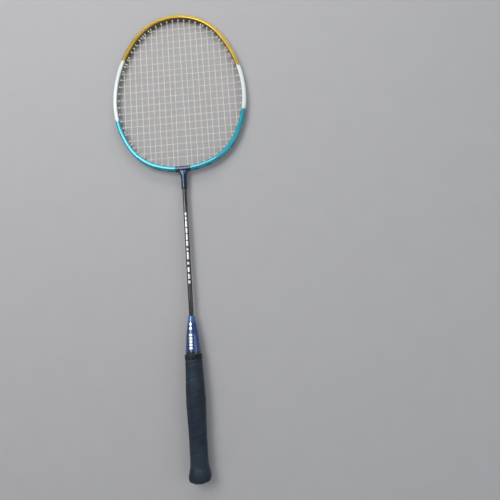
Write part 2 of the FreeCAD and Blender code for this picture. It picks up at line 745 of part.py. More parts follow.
def t_joint():
    """Cast T: arms between the tube's ends, stubs inside them, and a bored leg for the shaft."""
    body = new_body("t_joint")
    revolved_round_bottom(body, "stubs", "%s + groove_depth / 2" % BOTTOM_LINE,
                          CAVITY_WIDTH + " - 2 * spigot_clearance",
                          CAVITY_DEPTH + " - 2 * spigot_clearance",
                          CAVITY_CORNER, "joint_width / 2 + spigot_length")
    revolved_round_bottom(body, "arms", BOTTOM_LINE, "tube_width + joint_oversize",
                          "tube_depth + joint_oversize", "tube_corner", "joint_width / 2")
    leg = new_sketch(body, "leg", "XZ_Plane", BOTTOM_LINE)
    draw_circle(leg, LEG_DIAMETER)
    pad(body, leg, "%s - (%s)" % (BOTTOM_LINE, LEG_END))
    loft(body, "AdditiveLoft", "flare", FLARE_STATIONS, draw_flare)
    bore = new_sketch(body, "shaft_bore_sketch", "XZ_Plane", LEG_END + " - 1")
    draw_circle(bore, "shaft_diameter + 2 * joint_clearance")
    pocket(body, bore, "shaft_engagement + 1 + joint_clearance")
    holes = new_sketch(body, "string_holes", "XZ_Plane", LEG_END)
    draw_pair(holes, "2 * joint_hole_spread", "barrel_diameter + 2 * grommet_clearance")
    pocket(body, holes, "leg_length + 3 * tube_width")
    relief = new_sketch(body, "string_relief", "XZ_Plane", LEG_END)
    draw_slots(relief)
    pocket(body, relief, "leg_length + groove_depth + " + HOLE_RISE)
    for number in range(1, MAIN_COUNT // 2):
        for side in (1, -1):
            drill_stub(body, number, side)


def drill_stub(body, number, side):
    """Carry a string hole of the tube on through the stub, where the stub reaches that far."""
    point, outward = hole_frame("bottom", number, side)
    reach = "joint_width / 2 + spigot_length + barrel_diameter / 2 + grommet_clearance"
    if abs(point.x) > value(reach):
        return
    drill = body.newObject("PartDesign::SubtractiveCylinder",
                           "stub_hole_%d_%s" % (number, "right" if side == 1 else "left"))
    drill.setExpression("Radius", bound("barrel_diameter / 2 + grommet_clearance"))
    drill.setExpression("Height", bound("2 * tube_width"))
    drill.Placement = Placement(point - outward * value("tube_width"),
                                Rotation(Vector(0, 0, 1), outward))


def draw_flare(sketch, size):
    """Section of the flare, as wide and as deep as the two sizes say, with well rounded ends."""
    width, depth = size
    draw_rounded_box(sketch, "0", width, depth, "(%s) * 0.48" % depth)


def draw_slots(sketch):
    """Two openings beside the leg that carry the string groove on through the arms."""
    inner, outer = "joint_hole_spread - flange_diameter / 2 - 0.2", "joint_width / 2 + 2"
    for side in (1, -1):
        near, far, half = side * value(inner), side * value(outer), value("groove_width") / 2
        corners = [Vector(near, -half, 0), Vector(far, -half, 0), Vector(far, half, 0),
                   Vector(near, half, 0)]
        first = sketch.GeometryCount
        for start, end in zip(corners, corners[1:] + corners[:1]):
            sketch.addGeometry(Part.LineSegment(start, end))
        for index in range(4):
            constrain(sketch, "Coincident", first + index, 2, first + (index + 1) % 4, 1)
            constrain(sketch, ("Horizontal", "Vertical")[index % 2], first + index)
        ends = [(-1, 1, first, 1), (-1, 1, first, 2)] if side == 1 else [(first, 1, -1, 1),
                                                                        (first, 2, -1, 1)]
        constrain(sketch, "DistanceX", *ends[0], size=inner)
        constrain(sketch, "DistanceX", *ends[1], size=outer)
        constrain(sketch, "DistanceY", first, 1, -1, 1, size="groove_width / 2")
        constrain(sketch, "DistanceY", -1, 1, first + 2, 2, size="groove_width / 2")


def leg_ring():
    """Dark ring that covers the glue line where the shaft enters the joint."""
    bore = "shaft_diameter / 2 + joint_clearance"
    lathe("leg_ring", [(bore, LEG_END), (bore + " + ring_wall", LEG_END),
                       (bore + " + ring_wall", LEG_END + " - ring_length * 0.7"),
                       (bore + " + 0.2", LEG_END + " - ring_length"),
                       (bore, LEG_END + " - ring_length")])


# ---------------------------------------------------------------- shaft and cone

def shaft():
    """Straight tube from inside the handle to inside the T-joint."""
    body = new_body("shaft")
    outside = new_sketch(body, "shaft_outside", "XZ_Plane", "shaft_start")
    draw_circle(outside, "shaft_diameter")
    pad(body, outside, "%s - shaft_start" % SHAFT_TOP, reverse=True)
    inside = new_sketch(body, "shaft_inside", "XZ_Plane", "shaft_start - 1")
    draw_circle(inside, "shaft_bore")
    pocket(body, inside, "%s - shaft_start + 2" % SHAFT_TOP)


def shaft_plug():
    """Plug that keeps glue out of the shaft's lower end."""
    body = new_body("shaft_plug")
    stem = new_sketch(body, "plug_stem", "XZ_Plane", "shaft_start")
    draw_circle(stem, "shaft_bore - 0.04")
    pad(body, stem, "plug_length", reverse=True)
    head = new_sketch(body, "plug_head", "XZ_Plane", "shaft_start - 1.5")
    draw_circle(head, "shaft_diameter - 0.4")
    pad(body, head, "1.5", reverse=True)


CONE_TOP = "cone_bottom + cone_length"
CONE_WIDE = "(core_top_flats + 2 * cone_overhang)"
CONE_NECK = "cone_bottom + cone_length - cone_neck"
NOSE_WIDE = CONE_WIDE + " / 2 - cone_wall - core_nose_clearance"
NOSE_NARROW = "shaft_diameter / 2 + 2.2"


def cone():
    """Moulded cone between handle and shaft, a shell over the core's turned nose."""
    bore = "shaft_diameter / 2 + joint_clearance"
    lathe("cone", [(CONE_WIDE + " / 2 - cone_wall", "cone_bottom"), (CONE_WIDE + " / 2", "cone_bottom"),
                   (CONE_WIDE + " / 2", "cone_bottom + cone_lip"),
                   ("cone_belly / 2", "cone_bottom + cone_length / 2"),
                   (bore + " + cone_neck_wall", CONE_TOP + " - 0.8"),
                   (bore + " + cone_neck_wall - 0.35", CONE_TOP),
                   (bore, CONE_TOP), (bore, CONE_NECK),
                   (NOSE_NARROW + " + core_nose_clearance", "core_top + core_nose_length + 0.4"),
                   (CONE_WIDE + " / 2 - cone_wall", "cone_bottom + cone_lip")])


# ---------------------------------------------------------------- handle

CORE_STATIONS = [("cap_floor", "core_butt_flats"), ("cap_skirt + 2", "core_butt_flats"),
                 ("waist_place", "core_waist_flats"), ("palm_place", "core_palm_flats"),
                 ("upper_place", "core_upper_flats"), ("core_top", "core_top_flats")]


def handle_core():
    """Octagonal wooden handle with a swell, a turned nose and a bore for the shaft."""
    body = new_body("handle_core")
    loft(body, "AdditiveLoft", "core_loft", CORE_STATIONS, draw_octagon)
    nose = new_sketch(body, "core_nose")
    draw_polygon(nose, [("0", "core_top - 1"), (NOSE_WIDE, "core_top - 1"),
                        (NOSE_WIDE, "cone_bottom + cone_lip"),
                        (NOSE_NARROW, "core_top + core_nose_length"),
                        ("0", "core_top + core_nose_length")])
    turned = body.newObject("PartDesign::Revolution", "nose_turned")
    turned.Profile = nose
    turned.ReferenceAxis = (nose, ["V_Axis"])
    turned.Angle = 360
    bore = new_sketch(body, "core_bore", "XZ_Plane", "shaft_start - 1.5")
    draw_circle(bore, "shaft_diameter + 2 * joint_clearance")
    pocket(body, bore, "core_top + core_nose_length + 5 - shaft_start")
    holes = new_sketch(body, "core_nail_holes", "XZ_Plane", "cap_floor - 0.1")
    draw_pair(holes, "nail_spread", "nail_shank + 0.05")
    pocket(body, holes, "badge_thickness + nail_head / 4 + nail_length - cap_floor + 0.6")


CAP_STATIONS = [("0", "cap_end_flats"),
                ("cap_edge_place * 0.35", "cap_end_flats + (cap_edge_flats - cap_end_flats) * 0.6"),
                ("cap_edge_place", "cap_edge_flats"), ("cap_shoulder_place", "cap_shoulder_flats"),
                ("cap_flare_place", "cap_flare_flats"), ("cap_skirt", "cap_rim_flats")]


def butt_cap():
    """Flared cap nailed over the end of the handle core, with a seat for the badge."""
    body = new_body("butt_cap")
    loft(body, "AdditiveLoft", "cap_outside", CAP_STATIONS, draw_octagon)
    socket = new_sketch(body, "cap_socket", "XZ_Plane", "cap_floor")
    draw_octagon(socket, "core_butt_flats + 2 * cap_clearance")
    pocket(body, socket, "cap_skirt")
    seat = new_sketch(body, "badge_seat", "XZ_Plane", "-0.5")
    draw_circle(seat, "badge_diameter + 0.2")
    pocket(body, seat, "badge_thickness + 0.5 + nail_head / 4")
    holes = new_sketch(body, "cap_nail_holes", "XZ_Plane", "-0.5")
    draw_pair(holes, "nail_spread", "nail_shank + 0.05")
    pocket(body, holes, "cap_floor + 2")


def butt_cap_nails():
    """Two round-headed nails through the cap's end into the core."""
    body = new_body("butt_cap_nails")
    heads = new_sketch(body, "nail_heads", "XZ_Plane", "badge_thickness + 0.04")
    draw_pair(heads, "nail_spread", "nail_head")
    pad(body, heads, "nail_head / 4 - 0.04", reverse=True)
    shanks = new_sketch(body, "nail_shanks", "XZ_Plane", "badge_thickness + nail_head / 8")
    draw_pair(shanks, "nail_spread", "nail_shank")
    pad(body, shanks, "nail_length + nail_head / 8", reverse=True)


def butt_badge():
    """Plain disc let into the end of the cap, flush with the butt face."""
    lathe("butt_badge", [("0", "0"), ("badge_diameter / 2 - 0.25", "0"), ("badge_diameter / 2", "0.25"),
                         ("badge_diameter / 2", "badge_thickness"), ("0", "badge_thickness")])


def core_flats_at(place):
    """Expression for the core's size across its flats at a Y between its last two stations."""
    return ("core_top_flats + (core_upper_flats - core_top_flats) * (core_top - (%s))"
            " / (core_top - upper_place)" % place)


WRAP_TOP = "cone_bottom - wrap_gap"
WRAP_STATIONS = [("cap_edge_place", "cap_edge_flats"), ("cap_shoulder_place", "cap_shoulder_flats"),
                 ("cap_flare_place", "cap_flare_flats"),
                 ("cap_skirt", "cap_rim_flats"), ("cap_skirt + 2", "core_butt_flats"),
                 ("waist_place", "core_waist_flats"), ("palm_place", "core_palm_flats"),
                 ("upper_place", "core_upper_flats"), (WRAP_TOP, core_flats_at(WRAP_TOP))]


def sleeve(label, stations, gap, thickness):
    """Octagonal sleeve of even thickness lying over the handle."""
    body = new_body(label)
    outer = [(place, "%s + 2 * (%s) + 2 * (%s)" % (flats, gap, thickness)) for place, flats in stations]
    inner = [(place, "%s + 2 * (%s)" % (flats, gap)) for place, flats in stations]
    loft(body, "AdditiveLoft", label + "_outside", outer, draw_octagon)
    loft(body, "SubtractiveLoft", label + "_inside", inner, draw_octagon)


def grip_wrap():
    """Cushioned tape wound round the handle from the butt cap to the cone."""
    sleeve("grip_wrap", WRAP_STATIONS, "wrap_clearance", "wrap_thickness")


def finishing_tape():
    """Thin adhesive band that holds the upper end of the wrap down."""
    low = WRAP_TOP + " - tape_width"
    sleeve("finishing_tape", [(place, core_flats_at(place)) for place in (low, WRAP_TOP)],
           "2 * wrap_clearance + wrap_thickness", "tape_thickness")


# ---------------------------------------------------------------- build, check, write

def check(objects):
    """Stop with a message if any object failed or any sub-part has no sound shape."""
    for item in objects:
        if "Invalid" in item.State or "Error" in item.State:
            raise RuntimeError("%s did not recompute: %s" % (item.Name, item.State))
    for label, item in SUBPARTS.items():
        if item.Shape.isNull() or not item.Shape.isValid() or not item.Shape.Solids:
            raise RuntimeError("%s has no sound shape" % label)


for make in (head_frame, grommets, strings, t_joint, leg_ring, shaft, shaft_plug, cone, handle_core,
             butt_cap, butt_cap_nails, butt_badge, grip_wrap, finishing_tape):
    make()
doc.recompute()
check(doc.Objects)

os.makedirs("parts", exist_ok=True)
for label, item in SUBPARTS.items():
    item.Shape.exportStep("parts/%s.step" % label)
    box = item.Shape.BoundBox
    print("%-20s %2d solid(s) %9.1f mm3  X %7.2f..%7.2f  Y %7.2f..%7.2f  Z %6.2f..%6.2f" % (
        label, len(item.Shape.Solids), item.Shape.Volume, box.XMin, box.XMax, box.YMin, box.YMax,
        box.ZMin, box.ZMax))
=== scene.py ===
# %% [markdown]
# # A strung badminton racket, dressed around its CAD frame
#
# The racket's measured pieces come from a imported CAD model: the bent head tube, its
# grommets, the shaft, the cone and the handle.  This lesson adds what CAD leaves plain.
# It weaves the two strings, ties their knots, softens the cast T-joint, winds the grip
# and gives every surface a finish.  Everything is in metres.  The string bed is the plane
# Z = 0, the butt is at the origin and the head lies far along +Y.

# %% The frame

import math

import bmesh
import bpy
import numpy as np
from mathutils import Matrix, Vector


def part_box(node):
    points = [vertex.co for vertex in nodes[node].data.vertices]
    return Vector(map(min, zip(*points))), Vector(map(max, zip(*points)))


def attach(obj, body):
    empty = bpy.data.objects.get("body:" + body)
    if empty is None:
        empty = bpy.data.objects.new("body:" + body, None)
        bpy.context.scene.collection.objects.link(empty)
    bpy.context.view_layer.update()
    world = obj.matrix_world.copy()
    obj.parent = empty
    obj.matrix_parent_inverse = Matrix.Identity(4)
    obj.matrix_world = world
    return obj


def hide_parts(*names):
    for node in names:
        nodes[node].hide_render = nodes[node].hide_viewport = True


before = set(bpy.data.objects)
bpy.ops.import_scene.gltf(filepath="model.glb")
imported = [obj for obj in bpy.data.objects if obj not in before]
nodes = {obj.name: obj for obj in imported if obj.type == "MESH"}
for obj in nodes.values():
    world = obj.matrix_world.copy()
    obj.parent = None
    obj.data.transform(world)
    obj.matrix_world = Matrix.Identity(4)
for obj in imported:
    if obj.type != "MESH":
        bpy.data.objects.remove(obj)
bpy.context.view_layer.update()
MM = 0.001
SAME_POINT = 0.002 * MM
HEAD_LOW, HEAD_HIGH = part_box("head_frame")
head_middle = (HEAD_LOW + HEAD_HIGH) / 2
print("frame loaded:", len(nodes), "nodes")

# %% [markdown]
# ## The camera
#
# The racket is seen from above its right side, with the grip nearest.  A camera is easiest
# to place by its position and three turns: how far it is swung sideways, how far it is
# tipped, and how far it is rolled.  Starting from a camera that looks straight down, the
# turns are applied in that order.

# %% Camera

CAMERA_PLACE = Vector((0.1137, 0.2035, 0.5995))
SWING, TIP, ROLL = math.radians(2.49), math.radians(-9.04), math.radians(-4.46)
LENS, SENSOR = 31.23, 36.0

camera_data = bpy.data.cameras.new("camera")
camera_data.lens = LENS
camera_data.sensor_width = SENSOR
camera = bpy.data.objects.new("camera", camera_data)
bpy.context.scene.collection.objects.link(camera)
turn = Matrix.Rotation(ROLL, 3, "Z") @ Matrix.Rotation(TIP, 3, "X") @ Matrix.Rotation(SWING, 3, "Y")
looking_down = Matrix(((1, 0, 0), (0, -1, 0), (0, 0, -1)))
right, down, ahead = turn @ looking_down
camera.matrix_world = Matrix.LocRotScale(
    CAMERA_PLACE, Matrix((right, -down, -ahead)).transposed(), None)
bpy.context.scene.camera = camera
print("camera at", tuple(round(v, 3) for v in CAMERA_PLACE), "looking along", ahead)

# %% [markdown]
# ## The floor and the light
#
# The racket rests on two places: the low edge of the flared butt and the far low edge of
# the head.  The butt is thicker, so the floor is not quite parallel to the strings.  The
# floor's tilt follows from those two heights.  A big plain sheet of pale card is enough.

# %% Floor

WRAP_LOW, WRAP_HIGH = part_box("grip_wrap")
FLARE_PLACE = 7.8 * MM
TUBE_MIDDLE = 4 * MM
FLOOR_GAP = 0.3 * MM
SHEET_SIZE = 4.0

rest_near = Vector((0, FLARE_PLACE, WRAP_LOW.z))
rest_far = Vector((0, HEAD_HIGH.y - TUBE_MIDDLE, HEAD_LOW.z))
floor_tilt = math.atan2(rest_far.z - rest_near.z, rest_far.y - rest_near.y)

sheet = bmesh.new()
bmesh.ops.create_grid(sheet, x_segments=2, y_segments=2, size=SHEET_SIZE)
tilt = Matrix.Rotation(floor_tilt, 3, "X")
bmesh.ops.rotate(sheet, verts=sheet.verts, cent=(0, 0, 0), matrix=tilt)
bmesh.ops.translate(sheet, verts=sheet.verts, vec=rest_near - Vector((0, 0, FLOOR_GAP)))
floor_mesh = bpy.data.meshes.new("floor")
sheet.to_mesh(floor_mesh)
sheet.free()
floor = bpy.data.objects.new("floor", floor_mesh)
bpy.context.scene.collection.objects.link(floor)
print("floor tilted by %.2f degrees" % math.degrees(floor_tilt))

# %% [markdown]
# Soft boxes are area lights.  The largest hangs over the upper left and makes the long
# highlights on the tube and the cone.  A second fills from the right, and a low strip
# behind the head rims the frame.  The world adds an even pale glow.

# %% Lights

MIDDLE = (0.0, 0.36, 0.0)
HEAD_AIM = (0.0, 0.55, 0.0)
WARM, COOL, PLAIN = (1.0, 0.985, 0.96), (0.94, 0.97, 1.0), (1.0, 1.0, 1.0)
GLOW, GLOW_STRENGTH = (0.93, 0.95, 1.0, 1.0), 0.34


def soft_box(name, place, target, size, power, colour):
    """An area light at a place, facing a target."""
    data = bpy.data.lights.new(name, "AREA")
    data.shape = "RECTANGLE"
    data.size, data.size_y = size
    data.energy = power
    data.color = colour
    light = bpy.data.objects.new(name, data)
    facing = (Vector(target) - Vector(place)).to_track_quat("-Z", "Y")
    light.matrix_world = Matrix.LocRotScale(Vector(place), facing, None)
    bpy.context.scene.collection.objects.link(light)
    print("light %s: %.1f W" % (name, power))


soft_box("key", place=(-0.55, 0.75, 1.25), target=MIDDLE, size=(0.9, 0.7), power=10.5, colour=WARM)
soft_box("fill", place=(1.1, 0.1, 1.0), target=MIDDLE, size=(1.0, 1.0), power=3.5, colour=COOL)
soft_box("back", place=(0.1, 1.5, 0.7), target=HEAD_AIM, size=(1.2, 0.35), power=4.5, colour=PLAIN)

world = bpy.data.worlds.new("studio")
bpy.context.scene.world = world
world.use_nodes = True
world.node_tree.nodes["Background"].inputs["Color"].default_value = GLOW
world.node_tree.nodes["Background"].inputs["Strength"].default_value = GLOW_STRENGTH
bpy.context.scene.view_settings.view_transform = "Standard"

# %% [markdown]
# ## Wiring a finish
#
# Every material here is a few nodes on one Principled shader.  The patterns read the
# object's own coordinates, which are metres in the racket's frame, so a paint line can be
# put at a measured place.  A small class keeps the wiring short: each method adds one node
# and gives back its output, ready to plug into the next.

# %% Finish helper


class Finish:
    """A material under construction."""

    def __init__(self, name, **settings):
        self.material = bpy.data.materials.new(name)
        self.material.use_nodes = True
        self.tree = self.material.node_tree
        self.shader = self.tree.nodes["Principled BSDF"]
        for socket, setting in settings.items():
            self.shader.inputs[socket.replace("_", " ")].default_value = setting
        self.place = self.tree.nodes.new("ShaderNodeTexCoord").outputs["Object"]
        apart = self.tree.nodes.new("ShaderNodeSeparateXYZ")
        self.plug(apart.inputs[0], self.place)
        self.axis = apart.outputs

    def plug(self, socket, value):
        """Join an output to a socket, or set the socket to a plain value."""
        if isinstance(value, bpy.types.NodeSocket):
            self.tree.links.new(value, socket)
        elif isinstance(value, tuple) and len(value) == 3 and socket.type == "RGBA":
            socket.default_value = (*value, 1.0)
        else:
            socket.default_value = value

    def node(self, kind, output, *inputs, **settings):
        """Add a node, fill its first sockets and give back one of its outputs."""
        node = self.tree.nodes.new("ShaderNode" + kind)
        for name, setting in settings.items():
            setattr(node, name, setting)
        for socket, value in zip(node.inputs, inputs):
            if value is not None:
                self.plug(socket, value)
        return node.outputs[output]

    def math(self, operation, *inputs):
        return self.node("Math", 0, *inputs, operation=operation)

    def step(self, value, low, high):
        """Smooth rise from 0 at low to 1 at high."""
        return self.node("MapRange", 0, value, low, high, 0.0, 1.0,
                         interpolation_type="SMOOTHSTEP")

    def between(self, value, low, high, soft=0.06 * MM):
        """Mask that is 1 from low to high."""
        rise = self.step(value, low - soft, low + soft)
        fall = self.step(value, high + soft, high - soft)
        return self.math("MULTIPLY", rise, fall)

    def stretched(self, x, y, z):
        """The object's coordinates, scaled on each axis."""
        return self.node("Mapping", 0, self.place, None, None, (x, y, z))

    def distance(self, first, second):
        """Length of the line whose two legs are given."""
        squares = [self.math("MULTIPLY", leg, leg) for leg in (first, second)]
        return self.math("SQRT", self.math("ADD", *squares))

    def noise(self, scale, detail=3.0, roughness=0.55, place=None):
        """Soft noise from 0 to 1, with a scale in bumps to the metre."""
        return self.node("TexNoise", 0, place or self.place, None, scale, detail, roughness)

    def cells(self, scale, output="Distance"):
        """Voronoi cells: the distance to each one's middle, or its own random colour."""
        node = self.tree.nodes.new("ShaderNodeTexVoronoi")
        self.plug(node.inputs["Vector"], self.place)
        node.inputs["Scale"].default_value = scale
        return node.outputs[output]

    def mix(self, factor, first, second):
        """The first colour where the factor is 0, the second where it is 1."""
        node = self.tree.nodes.new("ShaderNodeMix")
        node.data_type = "RGBA"
        colours = [socket for socket in node.inputs if socket.type == "RGBA"]
        self.plug(node.inputs[0], factor)
        self.plug(colours[0], first)
        self.plug(colours[1], second)
        return [socket for socket in node.outputs if socket.type == "RGBA"][0]

    def colour(self, value):
        self.plug(self.shader.inputs["Base Color"], value)

    def rough(self, value, low, high):
        """Roughness that follows a 0 to 1 value between two limits."""
        spread = self.node("MapRange", 0, value, 0.0, 1.0, low, high)
        self.plug(self.shader.inputs["Roughness"], spread)

    def bumps(self, *layers):
        """Bumps from (height, depth in metres) layers, one on another."""
        normal = None
        for height, depth in layers:
            bump = self.tree.nodes.new("ShaderNodeBump")
            bump.inputs["Distance"].default_value = depth
            self.plug(bump.inputs["Height"], height)
            if normal is not None:
                self.plug(bump.inputs["Normal"], normal)
            normal = bump.outputs["Normal"]
        self.plug(self.shader.inputs["Normal"], normal)


def wear(node_name, finish):
    """Give a CAD node its finish, as its only material."""
    mesh = nodes[node_name].data
    mesh.materials.clear()
    mesh.materials.append(finish)
    print(node_name, "wears", finish.name)


# %% [markdown]
# ## The floor's finish
#
# Pale card with a breath of grain keeps the attention on the racket.

# %% Floor finish

card = Finish("pale_card", Roughness=0.85)
card.colour(card.mix(card.noise(35.0), (0.44, 0.44, 0.45), (0.47, 0.47, 0.48)))
card.bumps((card.noise(900.0), 0.05 * MM))
floor.data.materials.append(card.material)
print("floor wears", card.material.name)

# %% [markdown]
# ## The head's paint
#
# The tube is sprayed in three metallic lacquers that fade into each other: gold over the
# top, pearl white at the sides and teal round the bottom.  The fades are a few millimetres
# long and the gold's edge runs lower on the right.  The paint reads a height along Y, with
# a little of X mixed in for that slant, and a fine noise breaks the edge as a spray gun
# does.  Flakes are tiny Voronoi cells that tilt the colour and the bump.

# %% Head paint

GOLD_EDGE, GOLD_SLANT = 592.8 * MM, 0.150
TEAL_EDGE = 509.8 * MM
FADE = 2.2 * MM
GOLD, GOLD_DEEP = (0.62, 0.41, 0.030), (0.36, 0.22, 0.010)
PEARL, TEAL, TEAL_DEEP = (0.78, 0.85, 0.86), (0.0, 0.41, 0.51), (0.0, 0.27, 0.38)
# painted shade: a near-black brown mixed over the tube's inner face
INSIDE_SHADE, INSIDE_SHADE_SHARE = (0.02, 0.015, 0.012), 0.78
BARE_METAL = (0.55, 0.53, 0.50)
TEAL_METAL, PEARL_METAL, GOLD_METAL = 0.45, 0.08, 0.80
SPECKLE = 1.6 * MM
FLAKE_SCALE = 2600.0
SCUFF_LOW, SCUFF_HIGH = 662 * MM, 672 * MM


def inside_face(paint):
    """Mask of the tube's inner face, which takes painted shade: its normal points to the middle of
    the oval.
    """
    centred = paint.node("Mapping", 0, paint.place, (0, -head_middle.y, 0))
    half_width, half_height = HEAD_HIGH.x, (HEAD_HIGH.y - HEAD_LOW.y) / 2
    steepness = (1 / half_width ** 2, 1 / half_height ** 2, 0)
    outward = paint.node("VectorMath", 0, centred, steepness, operation="MULTIPLY")
    outward = paint.node("VectorMath", 0, outward, operation="NORMALIZE")
    normal = paint.tree.nodes.new("ShaderNodeNewGeometry").outputs["Normal"]
    facing = paint.node("VectorMath", 1, outward, normal, operation="DOT_PRODUCT")
    return paint.step(facing, -0.60, -0.90)


def head_paint():
    """Gold, pearl and teal lacquer with flakes, a clear coat, a scuffed top and painted shade on
    the inner face.
    """
    paint = Finish("fading_lacquer", Coat_Weight=1.0, Coat_Roughness=0.06, Coat_IOR=1.5)
    speckle = paint.math("MULTIPLY", paint.noise(1400.0, 2.0), SPECKLE)
    slant = paint.math("MULTIPLY", paint.axis["X"], GOLD_SLANT)
    height = paint.math("ADD", paint.axis["Y"], speckle)
    gold_line = paint.math("ADD", height, slant)
    to_gold = paint.step(gold_line, GOLD_EDGE - FADE, GOLD_EDGE + FADE)
    to_pearl = paint.step(height, TEAL_EDGE - FADE, TEAL_EDGE + FADE)
    flake = paint.cells(FLAKE_SCALE, output="Color")
    gold = paint.mix(flake, GOLD_DEEP, GOLD)
    teal = paint.mix(flake, TEAL_DEEP, TEAL)
    coloured = paint.mix(to_gold, paint.mix(to_pearl, teal, PEARL), gold)
    streaks = paint.noise(260.0, 4.0, 0.6, paint.stretched(1.0, 0.25, 3.0))
    top_end = paint.step(paint.axis["Y"], SCUFF_LOW, SCUFF_HIGH)
    scuffed = paint.math("MULTIPLY", paint.step(streaks, 0.63, 0.66), top_end)
    coloured = paint.mix(scuffed, coloured, BARE_METAL)
    # Painted shade: the inner face of the tube is darkened most of the way to a near-black brown.
    shaded_inside = paint.mix(INSIDE_SHADE_SHARE, coloured, INSIDE_SHADE)
    paint.colour(paint.mix(inside_face(paint), coloured, shaded_inside))
    less = paint.math("MULTIPLY", to_pearl, TEAL_METAL - PEARL_METAL)
    more = paint.math("MULTIPLY", to_gold, GOLD_METAL - PEARL_METAL)
    metal = paint.math("ADD", paint.math("SUBTRACT", TEAL_METAL, less), more)
    paint.plug(paint.shader.inputs["Metallic"], metal)
    paint.rough(paint.noise(180.0), 0.22, 0.40)
    paint.bumps((paint.noise(120.0, 2.0), 0.03 * MM), (paint.cells(FLAKE_SCALE), 0.004 * MM))
    return paint.material


wear("head_frame", head_paint())

# %% [markdown]
# ## Nylon grommets
#
# Grommets are moulded from milky nylon, so a little light goes through them.  Subsurface
# scattering over half a millimetre gives that, and the surface is satin rather than glossy.

# %% Grommets


def milky_nylon():
    """Satin nylon that lets a little light through."""
    nylon = Finish("milky_nylon", Subsurface_Weight=0.35, Subsurface_Scale=0.5 * MM)
    nylon.colour(nylon.mix(nylon.noise(700.0), (0.78, 0.77, 0.72), (0.86, 0.85, 0.81)))
    nylon.rough(nylon.noise(500.0), 0.35, 0.5)
    nylon.bumps((nylon.noise(1800.0), 0.01 * MM))
    return nylon.material


nylon_finish = milky_nylon()
GROMMET_NODES = [name for name in nodes if name.startswith("grommets_")]
for name in GROMMET_NODES:
    wear(name, nylon_finish)

# %% [markdown]
# ## Where the strings go
#
# A string passes through every grommet, so the grommets say where it runs.  Each CAD node
# holds several grommets as loose shells.  Walking the joined edges splits them, and each
# shell's longest direction is the way its hole points.  The result is a list of
# (inner mouth, outer mouth) pairs.

# %% Grommet mouths

def shells(node_name):
    """The separate shells of a CAD node, each as an array of its points."""
    merged = bmesh.new()
    merged.from_mesh(nodes[node_name].data)
    bmesh.ops.remove_doubles(merged, verts=merged.verts, dist=SAME_POINT)
    found, seen = [], set()
    for start in merged.verts:
        if start in seen:
            continue
        seen.add(start)
        shell, waiting = [], [start]
        while waiting:
            vert = waiting.pop()
            shell.append(vert.co[:])
            for edge in vert.link_edges:
                other = edge.other_vert(vert)
                if other not in seen:
                    seen.add(other)
                    waiting.append(other)
        found.append(np.array(shell))
    merged.free()
    return found


def mouths(node_name):
    """(inner, outer) mouth of every grommet of a node, as vectors in the plane Z = 0."""
    pairs = []
    for points in shells(node_name):
        middle = points.mean(0)
        along = np.linalg.svd(points - middle)[2][0]
        if along @ (middle - np.array(head_middle)) < 0:
            along = -along
        reach = (points - middle) @ along
        inner, outer = middle + along * reach.min(), middle + along * reach.max()
        pairs.append((Vector((inner[0], inner[1], 0)), Vector((outer[0], outer[1], 0))))
    return pairs


def across(pair):
    """Sorting key: from left to right."""
    return pair[0].x


def upwards(pair):
    """Sorting key: from the butt's side to the top."""
    return pair[0].y


def nearest(pairs, pair):
    """The one of the pairs whose inner mouth is nearest to another's."""
    return min(pairs, key=lambda other: (other[0] - pair[0]).length)


TOP = sorted(mouths("grommets_top"), key=across)
BOTTOM = sorted(mouths("grommets_bottom") + mouths("grommets_throat"), key=across)
RIGHT = sorted(mouths("grommets_right"), key=upwards, reverse=True)
LEFT = sorted(mouths("grommets_left"), key=upwards, reverse=True)
TIE_OFF = mouths("grommets_tie_off")
for side, holes in (("top", TOP), ("bottom", BOTTOM), ("right", RIGHT), ("left", LEFT)):
    print("mouths at the %s: %d" % (side, len(holes)))

# %% [markdown]
# ## Weaving
#
# The mains run up and down and the crosses run over and under them.  At each crossing one
# string is lifted by half a string and the other lowered by the same, and the next
# crossing does the opposite.  Only those crossing points are listed, one run at a time.
# The straight line between a run's two grommets says where its crossings lie.

# %% Weave

LIFT = 0.37 * MM
CLEAR_OF_TUBE = 3 * MM
bed_x = [(top[0].x + bottom[0].x) / 2 for top, bottom in zip(TOP, BOTTOM)]
bed_y = [(left[0].y + right[0].y) / 2 for left, right in zip(LEFT, RIGHT)]


def over(column, row):
    """1 where the main lies over the cross, -1 where it lies under."""
    return 1 if (column + row) % 2 else -1


def main_run(column):
    """Points of one main between its two grommets, from the top down."""
    high, low = TOP[column][0], BOTTOM[column][0]
    points = []
    for row, y in enumerate(bed_y):
        x = low.x + (high.x - low.x) * (y - low.y) / (high.y - low.y)
        inside = low.y + CLEAR_OF_TUBE < y < high.y - CLEAR_OF_TUBE
        if inside and LEFT[row][0].x < x < RIGHT[row][0].x:
            points.append(Vector((x, y, over(column, row) * LIFT)))
    return [high] + points + [low]


def cross_run(row):
    """Points of one cross between its two grommets, from left to right."""
    start, end = LEFT[row][0], RIGHT[row][0]
    points = []
    for column, x in enumerate(bed_x):
        y = start.y + (end.y - start.y) * (x - start.x) / (end.x - start.x)
        inside = start.x + CLEAR_OF_TUBE < x < end.x - CLEAR_OF_TUBE
        if inside and BOTTOM[column][0].y < y < TOP[column][0].y:
            points.append(Vector((x, y, -over(column, row) * LIFT)))
    return [start] + points + [end]


print("first main has %d points, first cross %d" % (len(main_run(0)), len(cross_run(0))))

# %% [markdown]
# Where a string turns back, it bends out of its grommet and runs along the groove outside
# the tube to the next one.  The groove is curved, so the middle of that stretch is lifted by
# the height of an arc over its chord.  Each string begins and ends the same way: a stretch
# of groove joins its outermost hole to a tie hole, where it comes back in to its knot.

# %% Turning back

GROOVE_LIFT = 0.12 * MM
GROOVE_RADIUS = 90 * MM
BEND_DEPTH = 0.6 * MM
BEND_LENGTH = 0.5 * MM
TIE_REACH = 3.4 * MM


